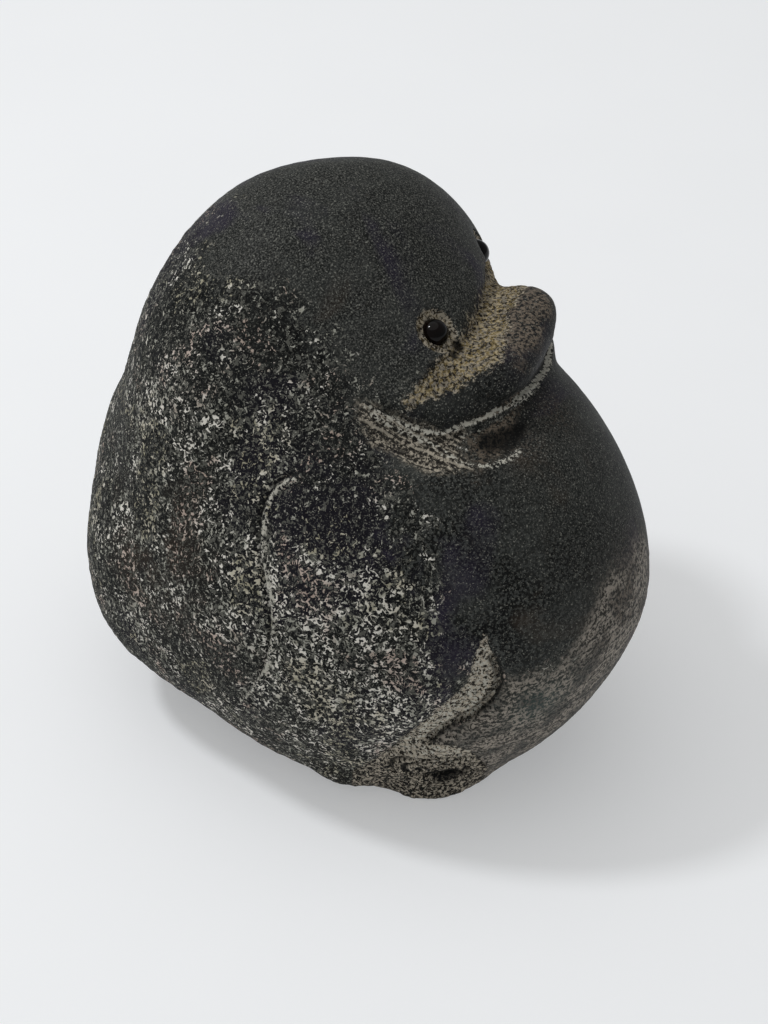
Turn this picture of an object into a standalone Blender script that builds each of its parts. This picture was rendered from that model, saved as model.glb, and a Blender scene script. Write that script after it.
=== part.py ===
"""A penguin carved from one dark beach cobble, with two glass beads for eyes.

The penguin faces -Y, its left side is +X and it stands on z = 0. The cobble is a ball pushed out to the joined
surface of a few rounded masses, then cut back along the carver's lines, and last ground flat underneath.
"""

import math

import bmesh
import bpy
import numpy as np
from mathutils import Vector, noise
from mathutils.bvhtree import BVHTree

# Sizes in metres
STONE_WIDTH = 0.0524
STONE_LENGTH = 0.067
STONE_HEIGHT = 0.062
EYE_DIAMETER = 0.003
EYE_CLEARANCE = 0.0003
EYE_PROUD = 0.0006
EYE_RING_WIDTH = 0.0012
EYE_RING_DEPTH = 0.0004
BROW_CUT_DEPTH = 0.0011
BROW_CUT_WIDTH = 0.0012
BROW_CUT_SLOPE = 0.0034
THROAT_CUT_DEPTH = 0.0013
THROAT_CUT_WIDTH = 0.0010
COLLAR_DEPTH = 0.0016
COLLAR_WIDTH = 0.0020
BREAST_STEP = 0.0009
BREAST_EDGE_WIDTH = 0.0009
BREAST_SLOPE = 0.0070
FLIPPER_LINE_DEPTH = 0.0008
FLIPPER_LINE_WIDTH = 0.0006
NOTCH_DEPTH = 0.0015
NOTCH_FACET = 0.0042
NOTCH_CREASE = 0.0016
WATER_WEAR = 0.0005
WATER_WEAR_SPAN = 0.016

HEAD_TURN = math.radians(26)

# How finely the stone is worked, and how many triangles are kept
BALL_SUBDIVISIONS = 7
MESH_STEP = 0.0004
SOFTENING = 2
STONE_TRIANGLES = 8500
BEAD_SEGMENTS = 16
BEAD_RINGS = 10
LINE_STEPS = 8
BISECTIONS = 28


def share(across, along, up):
    """A point or size given as shares of half the width, half the length and the height."""
    return np.array(
        [across * STONE_WIDTH / 2, along * STONE_LENGTH / 2, up * STONE_HEIGHT]
    )


# The rounded masses: centre and half sizes as shares, and squareness, where 2 is a true ellipsoid
BODY = (share(0, 0.014, 0.342), share(1, 1, 0.455), 1.97)
CROWN = (share(0.095, 0.252, 0.677), share(0.86, 0.546, 0.317), 1.77)
TAIL = (share(0, 0.51, 0.136), share(0.491, 0.427, 0.256), 2.6)
RIGHT_HAUNCH = (share(-0.423, 0.398, 0.271), share(0.496, 0.39, 0.204), 2.3)
LEFT_HAUNCH = (share(0.423, 0.398, 0.271), share(0.496, 0.39, 0.204), 2.3)
RIGHT_FOOT = (share(-0.255, -0.438, 0.04), share(0.296, 0.216, 0.123), 2.2)
LEFT_FOOT = (share(0.255, -0.41, 0.04), share(0.296, 0.216, 0.123), 2.2)
RIGHT_WING_TIP = (share(-0.57, -0.28, 0.06), share(0.15, 0.14, 0.06), 2)
LEFT_WING_TIP = (share(0.57, -0.28, 0.06), share(0.15, 0.14, 0.06), 2)
BLEND = 0.126 * STONE_HEIGHT

# The bill, about the head's own axis: across, ahead and up
HEAD_AXIS = share(0.0584, 0.172, 0)
BILL_CENTRE = np.array([-0.03 * STONE_WIDTH, 0.259 * STONE_LENGTH, 0.7145 * STONE_HEIGHT])
BILL_HALF = np.array([0.195 * STONE_WIDTH, 0.0935 * STONE_LENGTH, 0.077 * STONE_HEIGHT])
BILL_SQUARENESS = 3.6
BILL_BLEND = 0.012 * STONE_HEIGHT

# The slanting face ground under the belly, and the rounding of the underside's edge
UNDERCUT_SLOPE = math.radians(26)
UNDERCUT_REACH = 0.676 * STONE_LENGTH / 2
UNDERCUT_BLEND = 0.08 * STONE_HEIGHT
UNDERSIDE_ROUND = 0.01 * STONE_HEIGHT
CORE = share(0.0, 0.0, 0.42)

# The carver's lines: bearing in degrees, 0 ahead and negative to the right, and height as a share.
# Head lines are measured about the head's own axis, and repeat on its other side.
BROW_LINE = ((0, 0.797), (12, 0.795), (24, 0.786), (35, 0.774), (46, 0.762), (57, 0.746))
THROAT_LINE = ((0, 0.709), (13, 0.717), (24, 0.722), (40, 0.720), (50, 0.722), (59, 0.742), (68, 0.762))
COLLAR_LINE = ((4, 0.700), (22, 0.698), (36, 0.699), (50, 0.706), (59, 0.717), (68, 0.750))
BREAST_LINE = ((-53, 0.756), (-46, 0.690), (-38, 0.634), (-33, 0.547), (-29, 0.440))
NOTCH_LINE = ((-27, 0.450), (-25, 0.400), (-26, 0.350), (-30, 0.300), (-35, 0.240), (-42, 0.182), (-50, 0.06))
FLIPPER_LINE = ((-72, 0.657), (-79, 0.62), (-78, 0.56), (-74, 0.48), (-72, 0.40), (-76, 0.30), (-88, 0.18))
LEFT_SIDE_SHIFT = 18

# The shares of each line over which its cut deepens at the start and runs out at the end
BROW_FADE = (0.3, 0.3)
THROAT_FADE = (0.12, 0.12)
COLLAR_FADE = (0.4, 0.3)
BREAST_FADE = (0.3, 0.2)
NOTCH_FADE = (0.35, 0.15)
FLIPPER_FADE = (0.1, 0.1)

# The eyes' bearings and heights on the head
RIGHT_EYE = (-31, 0.818)
LEFT_EYE = (41, 0.790)


def mass(points, centre, half, squareness):
    """Roughly the distance outside one rounded mass, negative inside it."""
    reach = np.sum(np.abs((points - centre) / half) ** squareness, axis=-1)
    return (reach ** (1 / squareness) - 1) * min(half)


def joined(first, second, blend):
    """Two masses run together with a soft hollow between them."""
    mix = np.clip(0.5 + 0.5 * (second - first) / blend, 0, 1)
    return second * (1 - mix) + first * mix - blend * mix * (1 - mix)


def cut_by(first, second, blend):
    """The part of the first mass that is also inside the second, with a soft edge."""
    return -joined(-first, -second, blend)


def in_head_frame(points):
    """Points as (across, ahead, up) about the turned head's axis."""
    offset = points - HEAD_AXIS
    ahead = -offset[..., 1] * math.cos(HEAD_TURN) + offset[..., 0] * math.sin(HEAD_TURN)
    across = offset[..., 0] * math.cos(HEAD_TURN) + offset[..., 1] * math.sin(HEAD_TURN)
    return np.stack([across, ahead, offset[..., 2]], axis=-1)


def without_bill(points):
    """Roughly the distance outside the head and body, before the bill and the underside."""
    undercut = -(points[..., 1] * math.cos(UNDERCUT_SLOPE) + points[..., 2] * math.sin(UNDERCUT_SLOPE))
    form = cut_by(mass(points, *BODY), undercut - UNDERCUT_REACH, UNDERCUT_BLEND)
    form = joined(form, mass(points, *CROWN), BLEND)
    for rear in (TAIL, RIGHT_HAUNCH, LEFT_HAUNCH):
        form = joined(form, mass(points, *rear), BLEND / 2)
    for low in (RIGHT_FOOT, LEFT_FOOT, RIGHT_WING_TIP, LEFT_WING_TIP):
        form = joined(form, mass(points, *low), BLEND / 5)
    return form


def outside(points):
    """Roughly the distance outside the uncarved penguin."""
    bill = mass(in_head_frame(points), BILL_CENTRE, BILL_HALF, BILL_SQUARENESS)
    form = joined(without_bill(points), bill, BILL_BLEND)
    return cut_by(form, -points[..., 2] - UNDERSIDE_ROUND / 4, UNDERSIDE_ROUND)


def reach_out(start, directions, form=outside):
    """How far each ray from start runs before it leaves the form."""
    near = np.zeros(len(directions))
    far = np.full(len(directions), STONE_LENGTH + STONE_HEIGHT)
    for _ in range(BISECTIONS):
        middle = (near + far) / 2
        inside = form(start + directions * middle[:, None]) < 0
        near = np.where(inside, middle, near)
        far = np.where(inside, far, middle)
    return near


def heading(bearing):
    """A level direction from a bearing in radians."""
    return np.stack([np.sin(bearing), -np.cos(bearing), np.zeros_like(bearing)], -1)


def smooth_through(values):
    """A smooth run of values through the given ones (Catmull-Rom)."""
    values = np.array(values, float)
    ends = np.vstack([2 * values[0] - values[1], values, 2 * values[-1] - values[-2]])
    t = np.arange(LINE_STEPS)[:, None] / LINE_STEPS
    runs = []
    for a, b, c, d in zip(ends, ends[1:], ends[2:], ends[3:]):
        runs.append(
            0.5 * (2 * b + (c - a) * t + (2 * a - 5 * b + 4 * c - d) * t**2
                   + (3 * b - a - 3 * c + d) * t**3)
        )
    return np.vstack([*runs, values[-1:]])


def line_on_stone(line, axis, turn=0.0, form=outside):
    """The carver's line as points on the uncarved surface."""
    run = smooth_through(line)
    directions = heading(np.radians(run[:, 0]) + turn)
    starts = np.column_stack([np.tile(axis[:2], (len(run), 1)), run[:, 1] * STONE_HEIGHT])
    return starts + directions * reach_out(starts, directions, form)[:, None]


def both_sides(line):
    """A head line from one side of the face round to the other."""
    return [(-bearing, height) for bearing, height in reversed(line[1:])] + list(line)


def mirrored(line):
    """A line of the right side repeated on the left, where it lies a little further back."""
    return [(LEFT_SIDE_SHIFT - bearing, height) for bearing, height in line]


def beside(points, line):
    """For each point, how far it lies from the line, with a sign for the side, and how far along it is."""
    starts, runs = line[:-1], np.diff(line, axis=0)
    nearest = np.full(len(points), np.inf)
    side = np.zeros(len(points))
    along = np.zeros(len(points))
    for index, (start, run) in enumerate(zip(starts, runs)):
        t = np.clip((points - start) @ run / (run @ run), 0, 1)
        offset = points - start - t[:, None] * run
        distance = np.linalg.norm(offset, axis=1)
        closer = distance < nearest
        outward = start - CORE
        sideways = np.cross(run, outward)
        nearest = np.where(closer, distance, nearest)
        side = np.where(closer, np.sign(offset @ sideways), side)
        along = np.where(closer, (index + t) / len(runs), along)
    return nearest * side, along


def eased(value):
    """0 to 1 with soft ends."""
    value = np.clip(value, 0, 1)
    return value * value * (3 - 2 * value)


def furrow(side, width):
    """A rounded groove's share of its full depth."""
    return np.exp(-((side / width) ** 2))


def facets(side, width, other_width):
    """Two flat faces that meet at the line, as a share of the full depth, each with its own width."""
    return np.clip(1 - np.abs(side) / np.where(side > 0, other_width, width), 0, 1)


def fading(along, start, end):
    """1 along the line, easing to 0 over the given shares at its ends."""
    return eased(along / start) * eased((1 - along) / end)


def cut_depth(points):
    """How deep the carver cut at each point of the surface."""
    brow = line_on_stone(both_sides(BROW_LINE), HEAD_AXIS, HEAD_TURN, without_bill)
    side, along = beside(points, brow)
    depth = BROW_CUT_DEPTH * facets(side, BROW_CUT_WIDTH, BROW_CUT_SLOPE) * fading(along, *BROW_FADE)

    side, along = beside(points, line_on_stone(both_sides(THROAT_LINE), HEAD_AXIS, HEAD_TURN))
    depth += THROAT_CUT_DEPTH * furrow(side, THROAT_CUT_WIDTH) * fading(along, *THROAT_FADE)

    for collar in (COLLAR_LINE, [(-bearing, height) for bearing, height in COLLAR_LINE]):
        side, along = beside(points, line_on_stone(collar, HEAD_AXIS, HEAD_TURN))
        depth += COLLAR_DEPTH * furrow(side, COLLAR_WIDTH) * fading(along, *COLLAR_FADE)

    for flip, turn in ((list, 1), (mirrored, -1)):
        side, along = beside(points, line_on_stone(flip(FLIPPER_LINE), CORE))
        depth += FLIPPER_LINE_DEPTH * furrow(side, FLIPPER_LINE_WIDTH) * fading(along, *FLIPPER_FADE)
        side, along = beside(points, line_on_stone(flip(BREAST_LINE), CORE))
        depth += BREAST_STEP * facets(side * turn, BREAST_EDGE_WIDTH, BREAST_SLOPE) * fading(along, *BREAST_FADE)
        side, along = beside(points, line_on_stone(flip(NOTCH_LINE), CORE))
        depth += NOTCH_DEPTH * facets(side * turn, NOTCH_CREASE, NOTCH_FACET) * fading(along, *NOTCH_FADE)
    return depth


def worn(points):
    """The slow unevenness of a water-worn cobble."""
    return np.array(
        [noise.noise(Vector(point / WATER_WEAR_SPAN)) for point in points]
    ) * WATER_WEAR


def carve_stone(collection, material):
    """The uncut stone, carved, thinned to the triangles kept and ground flat underneath."""
    work = bmesh.new()
    bmesh.ops.create_icosphere(work, subdivisions=BALL_SUBDIVISIONS, radius=1.0)
    directions = np.array([vertex.co.normalized() for vertex in work.verts])
    surface = CORE + directions * reach_out(CORE, directions)[:, None]
    place(work, surface)
    normals = np.array([vertex.normal for vertex in work.verts])
    surface -= normals * (cut_depth(surface) + worn(surface))[:, None]
    place(work, surface)
    mesh = bpy.data.meshes.new("stone")
    work.to_mesh(mesh)
    work.free()
    stone = bpy.data.objects.new("carved_stone", mesh)
    collection.objects.link(stone)
    mesh.materials.append(material)
    mesh.shade_smooth()
    even = stone.modifiers.new("even", "REMESH")
    even.mode = "VOXEL"
    even.voxel_size = MESH_STEP
    even.use_smooth_shade = True
    soften = stone.modifiers.new("soften", "SMOOTH")
    soften.iterations = SOFTENING
    bpy.context.view_layer.update()
    evened = stone.evaluated_get(bpy.context.evaluated_depsgraph_get()).data
    thin = stone.modifiers.new("thin", "DECIMATE")
    thin.ratio = STONE_TRIANGLES / (2 * len(evened.polygons))
    return stone


def place(work, points):
    """Moves the ball's vertices to the points."""
    for vertex, point in zip(work.verts, points):
        vertex.co = point
    work.normal_update()


def grind_flat(stone, cutters):
    """The flat underside, cut by a block that reaches past the stone."""
    bpy.ops.mesh.primitive_cube_add(size=1, location=(0, 0, -STONE_HEIGHT / 2))
    block = bpy.context.object
    block.name = "grinding_block"
    block.scale = (STONE_WIDTH * 2, STONE_LENGTH * 2, STONE_HEIGHT)
    bpy.ops.object.transform_apply(location=False, rotation=False, scale=True)
    keep_as_cutter(block, cutters)
    add_cut(stone, block)


def keep_as_cutter(obj, cutters):
    for collection in list(obj.users_collection):
        collection.objects.unlink(obj)
    cutters.objects.link(obj)
    obj.hide_render = True
    obj.display_type = "WIRE"


def add_cut(stone, cutter):
    cut = stone.modifiers.new(cutter.name, "BOOLEAN")
    cut.operation = "DIFFERENCE"
    cut.object = cutter


def eye_seat(stone, place_on_head):
    """Where an eye's axis meets the carved stone, and the way it looks."""
    bearing, height = place_on_head
    tree = BVHTree.FromPolygons(
        [vertex.co for vertex in stone.data.vertices],
        [list(polygon.vertices) for polygon in stone.data.polygons],
    )
    way = Vector(heading(np.array(math.radians(bearing) + HEAD_TURN)))
    start = Vector((HEAD_AXIS[0], HEAD_AXIS[1], height * STONE_HEIGHT))
    point, normal, _, _ = tree.ray_cast(start + way * STONE_LENGTH, -way)
    return point, normal


def turned(obj, name, turn):
    obj.name = name
    obj.rotation_mode = "QUATERNION"
    obj.rotation_quaternion = turn
    return obj


def set_eye(name, stone, place_on_head, collection, cutters, material):
    """A glass bead in its drilled socket, with the shallow ring that was cut around it."""
    point, normal = eye_seat(stone, place_on_head)
    turn = normal.to_track_quat("Z", "Y")
    radius = EYE_DIAMETER / 2
    centre = point + normal * (EYE_PROUD - radius)

    bpy.ops.mesh.primitive_uv_sphere_add(
        segments=BEAD_SEGMENTS, ring_count=BEAD_RINGS, radius=radius, location=centre
    )
    bead = turned(bpy.context.object, name, turn)
    bead.data.materials.append(material)
    bead.data.shade_smooth()
    for linked in list(bead.users_collection):
        linked.objects.unlink(bead)
    collection.objects.link(bead)

    bpy.ops.mesh.primitive_cylinder_add(
        vertices=BEAD_SEGMENTS,
        radius=radius + EYE_RING_WIDTH,
        depth=EYE_DIAMETER,
        location=point + normal * (radius - EYE_RING_DEPTH),
    )
    ring = turned(bpy.context.object, name + "_ring", turn)
    bpy.ops.mesh.primitive_uv_sphere_add(
        segments=BEAD_SEGMENTS, ring_count=BEAD_RINGS, radius=radius + EYE_CLEARANCE, location=centre
    )
    socket = turned(bpy.context.object, name + "_socket", turn)
    for cutter in (ring, socket):
        keep_as_cutter(cutter, cutters)
        add_cut(stone, cutter)


def finish_material(name, colour, roughness):
    material = bpy.data.materials.new(name)
    material.use_nodes = True
    shader = material.node_tree.nodes["Principled BSDF"]
    shader.inputs["Base Color"].default_value = (*colour, 1.0)
    shader.inputs["Roughness"].default_value = roughness
    shader.inputs["Metallic"].default_value = 0.0
    return material


def main():
    for obj in list(bpy.data.objects):
        bpy.data.objects.remove(obj)
    penguin = bpy.data.collections.new("penguin sculpture")
    cutters = bpy.data.collections.new("cutters")
    for collection in (penguin, cutters):
        bpy.context.scene.collection.children.link(collection)
    dark_stone = finish_material("dark stone", (0.045, 0.046, 0.042), 0.6)
    black_glass = finish_material("black glass", (0.004, 0.004, 0.004), 0.05)

    stone = carve_stone(penguin, dark_stone)
    grind_flat(stone, cutters)
    set_eye("right_eye", stone, RIGHT_EYE, penguin, cutters, black_glass)
    set_eye("left_eye", stone, LEFT_EYE, penguin, cutters, black_glass)


main()
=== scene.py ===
import math

import bpy
import numpy as np
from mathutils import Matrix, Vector, noise
from mathutils.bvhtree import BVHTree


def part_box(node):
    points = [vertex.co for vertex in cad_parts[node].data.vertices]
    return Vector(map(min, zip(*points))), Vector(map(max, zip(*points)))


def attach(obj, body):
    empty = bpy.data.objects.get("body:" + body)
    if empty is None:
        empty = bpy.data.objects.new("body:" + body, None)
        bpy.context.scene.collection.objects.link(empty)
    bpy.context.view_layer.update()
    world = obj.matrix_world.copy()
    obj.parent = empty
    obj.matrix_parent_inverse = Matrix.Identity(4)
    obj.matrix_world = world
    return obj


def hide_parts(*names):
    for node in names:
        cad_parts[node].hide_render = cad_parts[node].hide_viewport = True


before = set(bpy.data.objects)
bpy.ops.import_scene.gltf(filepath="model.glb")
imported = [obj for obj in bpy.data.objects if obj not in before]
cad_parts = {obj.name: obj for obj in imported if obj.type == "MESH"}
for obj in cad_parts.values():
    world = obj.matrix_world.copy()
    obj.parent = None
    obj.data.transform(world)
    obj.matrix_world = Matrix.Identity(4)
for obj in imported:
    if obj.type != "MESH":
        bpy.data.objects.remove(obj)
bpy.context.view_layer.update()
bpy.ops.object.select_all(action="DESELECT")
print("penguin: frame loaded")

mm = 0.001
heart = np.array([0, 0, 26 * mm])    # a point well inside the stone

# The camera, from the penguin's right front. Pixels are those of a 768 x 1024 frame.
view = {
    "azimuth": -50,
    "elevation": 40,
    "distance": 0.330,
    "focalPixels": 2867,
    "frameWidth": 768,
    "frameHeight": 1024,
    "standAcross": 369.1,    # where the middle of the underside falls
    "standDown": 672.9,
    "sensorWidth": 36,
    "nearest": 0.01,
    "farthest": 10,
}


def viewAxes():
    turn, lift = math.radians(view["azimuth"]), math.radians(view["elevation"])
    back = np.array([math.sin(turn) * math.cos(lift), -math.cos(turn) * math.cos(lift), math.sin(lift)])
    right = np.array([math.cos(turn), math.sin(turn), 0.0])
    up = np.cross(back, right)
    aim = (
        -back * view["focalPixels"]
        + right * (view["frameWidth"] / 2 - view["standAcross"])
        + up * (view["standDown"] - view["frameHeight"] / 2)
    )
    aim /= np.linalg.norm(aim)
    right = np.cross(aim, [0, 0, 1])
    right /= np.linalg.norm(right)
    return back * view["distance"], aim, right, np.cross(right, aim)


eyePoint, aim, rightWay, upWay = viewAxes()


# Where points fall in the frame.
def seenAt(points):
    offset = points - eyePoint
    depth = offset @ aim
    across = view["frameWidth"] / 2 + view["focalPixels"] * (offset @ rightWay) / depth
    down = view["frameHeight"] / 2 - view["focalPixels"] * (offset @ upWay) / depth
    return np.stack([across, down], -1)


# The points of the stone that are seen at the given pixels.
def onStone(pixels, tree):
    found = []
    for across, down in pixels:
        way = (
            aim * view["focalPixels"]
            + rightWay * (across - view["frameWidth"] / 2)
            + upWay * (view["frameHeight"] / 2 - down)
        )
        hit = tree.ray_cast(Vector(eyePoint), Vector(way).normalized())[0]
        if hit is not None:
            found.append(np.array(hit))
    return np.array(found)


# What the carver cut, as seen in the frame: lines and the outlines of worked areas.
lines = {
    "brow": ((482, 292), (473, 323), (453, 350), (429, 372), (418, 388), (404, 402)),
    "billRidge": ((507, 303), (504, 328), (500, 361), (478, 374), (455, 389), (433, 396), (412, 406)),
    "throat": ((551, 358), (534, 381), (514, 398), (490, 411), (463, 422), (440, 429), (412, 424),
               (385, 412), (365, 404)),
    "throatBelow": ((543, 380), (522, 403), (503, 418), (480, 431), (455, 438)),
    "collarTop": ((362, 404), (378, 411), (398, 420), (416, 427), (432, 434)),
    "collar": ((366, 412), (384, 422), (402, 431), (430, 444), (448, 456), (466, 465), (490, 466),
               (511, 458), (524, 446)),
    "breast": ((363, 412), (380, 460), (400, 490), (425, 530), (445, 580), (462, 620), (478, 642)),
    "footEdge": ((484, 636), (473, 660), (466, 685), (446, 703), (416, 727), (388, 750), (358, 768)),
    "footCrease": ((489, 652), (497, 668), (498, 683), (490, 697), (473, 712), (456, 721), (440, 730),
                   (424, 743)),
    "flipper": ((300, 480), (290, 481), (279, 488), (268, 508), (264, 540), (268, 575), (274, 610),
                (274, 640), (266, 670), (250, 692), (232, 710)),
}
areas = {
    "recess": ((485, 282), (507, 286), (509, 318), (504, 345), (500, 362), (478, 375), (455, 390), (433, 397),
               (412, 408), (402, 404), (418, 386), (429, 370), (453, 349), (472, 322)),
    "bill": ((507, 284), (562, 284), (566, 345), (548, 368), (500, 412), (440, 430), (404, 414), (433, 397),
             (478, 375), (503, 358), (508, 318)),
    "billTop": ((507, 284), (548, 284), (556, 298), (551, 318), (532, 330), (514, 338), (503, 356),
                (504, 330), (508, 300)),
    "hatching": ((358, 398), (385, 411), (412, 423), (440, 431), (462, 427), (466, 434), (456, 448),
                 (478, 468), (440, 474), (400, 460), (372, 446), (360, 424)),
    "pocket": ((478, 433), (500, 428), (526, 420), (528, 438), (508, 451), (488, 456), (474, 448)),
    "brownUnderEye": ((448, 338), (466, 334), (470, 350), (456, 372), (436, 384), (424, 378), (436, 362),
                      (452, 356)),
    "footBand": ((484, 634), (474, 658), (466, 685), (446, 703), (416, 727), (388, 750), (352, 772),
                 (352, 790), (420, 802), (470, 800), (488, 768), (470, 750), (440, 744), (426, 742),
                 (440, 731), (456, 722), (475, 714), (492, 698), (499, 683), (498, 666), (490, 648)),
    "belly": ((499, 686), (520, 680), (548, 672), (576, 655), (598, 632), (612, 602), (624, 570),
              (640, 535), (700, 560), (640, 680), (520, 790), (480, 790), (474, 752), (430, 742),
              (456, 724), (475, 714), (492, 698)),
    "dome": ((470, 180), (400, 140), (330, 140), (255, 168), (205, 212), (190, 262), (232, 292), (278, 286),
             (300, 322), (330, 352), (356, 372), (362, 404), (404, 404), (430, 372), (455, 348), (474, 322),
             (484, 290), (520, 240)),
    "breast": ((363, 408), (380, 462), (400, 492), (425, 532), (436, 575), (440, 612), (434, 650),
               (440, 690), (455, 699), (470, 672), (478, 650), (500, 685), (548, 672), (606, 640),
               (690, 560), (640, 400), (560, 350), (540, 380), (470, 440), (440, 450)),
}
# How soft and how uneven the edge of an area is, where it isn't a clean cut.
cleanEdge = (4, 0.3)
edges = {
    "dome": (46, 3.0),
    "breast": (40, 2.2),
    "belly": (18, 1.3),
    "pocket": (16, 0.3),
    "billTop": (14, 0.8),
    "recess": (13, 0.8),
    "hatching": (12, 0.7),
    "brownUnderEye": (14, 0.6),
}
# How far and in what size of lumps an uneven edge wanders, in pixels of the frame.
edgeWander = {
    "broad": {"size": 2.2 * mm, "seed": 3.0, "pixels": (7.0, -7.0)},
    "fine": {"size": 0.9 * mm, "seed": 4.0, "pixels": (3.0, 4.0)},
}
spots = {
    "hollow": (450, 774),
    "strata": (450, 768),
    "nick": (459, 345),
    "nickBelow": (455, 354),
    "paleCluster": (372, 640),
    "lowPale": (330, 720),
    "midPale": (225, 400),
    "darkSide": (360, 455),
    "darkMiddle": (332, 520),
    "rust": (150, 545),
    "warmBreast": (556, 412),
    # Painted light on the breast's upper right.
    "litBreast": (575, 455),
    # Painted sheen, in a brown tone, on the belly's right rim.
    "rimSheen": (626, 610),
    "tealPatch": (540, 704),
}
# How far the stain or shade of a spot reaches.
spotReach = {
    "hollow": 2.3 * mm,
    "nick": 0.75 * mm,
    "nickBelow": 0.6 * mm,
    "paleCluster": 14 * mm,
    "lowPale": 9 * mm,
    "midPale": 10 * mm,
    "darkSide": 6 * mm,
    "darkMiddle": 5 * mm,
    "rust": 8 * mm,
    "warmBreast": 3 * mm,
    "litBreast": 11 * mm,
    "rimSheen": 5 * mm,
    "tealPatch": 3.5 * mm,
}
# How many pale specks the crust has, and how much more or less at a spot.
specks = {
    "everywhere": 0.45,
    "atSpots": {"paleCluster": 0.45, "lowPale": 0.25, "midPale": 0.15, "darkSide": -0.35,
                "darkMiddle": -0.65},
}
# Heights where a finish starts to change, and over how much, downwards where negative.
heights = {
    "lowOnFoot": (14 * mm, -9 * mm),
    "fewerSpecks": (40 * mm, 14 * mm),
    "worn": (7 * mm, -5 * mm),
    "yellower": (42 * mm, 5 * mm),
}
headMarks = ("brow", "billRidge", "throat", "throatBelow", "collarTop", "collar", "nick", "nickBelow")
bodyAreas = ("footBand", "belly", "breast")

# The head looks a little to its left, so its own middle plane is turned and set aside.
head = {
    "axis": (1.53 * mm, 5.76 * mm),
    "turn": 26,
}

# The body's marks lie this many degrees further back on the left.
body = {
    "leftShift": 18,
}

stoneMake = {
    "step": 0.515 * mm,          # size of the faces, halved where there is carving
    "softening": 8,
    "plugDepth": 3.0 * mm,
    "plugRadius": 2.85 * mm,
    "fineMargin": 1.6 * mm,      # how far from a line the faces are halved
    "eyeMargin": 4.2 * mm,
    "groundBelow": 0.12 * mm,    # what is lower than this is ground flat
}

eyeMake = {
    "radius": 1.5 * mm,
    "seatGap": 0.03 * mm,
    "ringRadius": 2.45 * mm,
    "ringDepth": 0.34 * mm,
    "ringWall": 0.22 * mm,
    "ringWander": 0.10 * mm,
    "ringLumps": 0.8 * mm,
    "ringBelow": 2.5 * mm,
    "stoneFrom": 3.0 * mm,       # the stone round a bead that gives the way out
    "stoneTo": 4.6 * mm,
    "neckBelow": 8 * mm,
    "cutBehind": 0.72,           # shares of the radius
    "roundFrom": 0.6,
    "inset": 0.12,
    "deeper": {"right_eye": 0.0, "left_eye": 0.35 * mm},    # set in more than the solid bead
}

# Depths and widths of the carving, inwards where positive.
carving = {
    "brow": {"depth": 0.20 * mm, "width": 0.5 * mm},
    "billRidge": {"depth": 0.16 * mm, "width": 0.35 * mm},
    "throat": {"depth": 0.42 * mm, "width": 0.34 * mm},
    "throatBelow": {"depth": 0.24 * mm, "width": 0.24 * mm},
    "throatLip": {"depth": -0.14 * mm, "width": 0.3 * mm, "below": 0.62 * mm, "ends": (0.1, 0.4)},
    "pocket": {"depth": 0.35 * mm},
    "collarLip": {"depth": -0.16 * mm, "width": 0.38 * mm},
    "hatching": {"depth": 0.10 * mm, "spacing": 0.75 * mm, "waver": 2.2},
    "breast": {"depth": 0.16 * mm, "width": 1.4 * mm},
    "footEdge": {"depth": 0.22 * mm, "width": 0.8 * mm},
    "footCrease": {"depth": 0.60 * mm, "width": 0.34 * mm},
    "flipper": {"depth": -0.26 * mm, "width": 0.36 * mm},
    "flipperSide": {"depth": 0.20 * mm, "width": 0.30 * mm, "beyond": 0.55 * mm, "ends": (0.1, 0.2)},
    "hollow": {"depth": 1.2 * mm, "length": 2.6 * mm, "height": 1.2 * mm},
    "strata": {"depth": 0.26 * mm, "spacing": 0.90 * mm, "reach": 5.2 * mm, "fade": 2 * mm, "waver": 0.8,
               "waverSize": 2.4 * mm, "levelShare": 0.35, "heightShare": 1.25},
    "granular": {"depth": 0.10 * mm, "size": 0.5 * mm},
    "nick": {"depth": 0.32 * mm, "width": 0.55 * mm},
    "crust": {"depth": 0.11 * mm, "size": 1.1 * mm},
    "swell": {"depth": 0.10 * mm, "size": 5.0 * mm},
    "grind": {"depth": 0.05 * mm, "spacing": 0.9 * mm, "waver": 3.5},
}
byLine = {"step": 4 * mm, "lip": 2 * mm}    # how far from its line a cut can reach
waverSize = 1.6 * mm
collarRun = 20    # how many steps of the collar's line its tool marks run along
stepEase = 0.25 * mm
stepEnds = (0.15, 0.1)
grooveEnds = (0.06, 0.06)
# On which side of a line, seen along it, the stone is cut lower.
stepWay = {"brow": -1, "billRidge": 1, "footEdge": -1, "breast": -1, "throat": -1, "flipper": 1}

# Lines that the carver's tool left pale, and the lit lip under the throat's groove.
paleLines = {
    "flipper": {"width": 0.26 * mm, "share": 1.5},
    "throatBelow": {"width": 0.24 * mm, "share": 0.45},
    "collarTop": {"width": 0.40 * mm, "share": 0.45},
    "collar": {"width": 0.36 * mm, "share": 0.62},
}
litLip = {"below": 0.38 * mm, "width": 0.24 * mm, "share": 0.85, "ends": (0.04, 0.35)}
creaseShade = 0.50 * mm


def activate(piece):
    bpy.ops.object.select_all(action="DESELECT")
    piece.select_set(True)
    bpy.context.view_layer.objects.active = piece


def pointsOf(mesh):
    points = np.zeros(len(mesh.vertices) * 3)
    mesh.vertices.foreach_get("co", points)
    return points.reshape(-1, 3)


def normalsOf(mesh):
    normals = np.zeros(len(mesh.vertices) * 3)
    mesh.vertex_normals.foreach_get("vector", normals)
    return normals.reshape(-1, 3)


def treeOf(mesh):
    return BVHTree.FromPolygons([v.co for v in mesh.vertices], [list(p.vertices) for p in mesh.polygons])


def eased(value):
    value = np.clip(value, 0, 1)
    return value * value * (3 - 2 * value)


# Fades what runs along a line at its two ends.
def fadedEnds(along, ends):
    return eased(along / ends[0]) * eased((1 - along) / ends[1])


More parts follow.
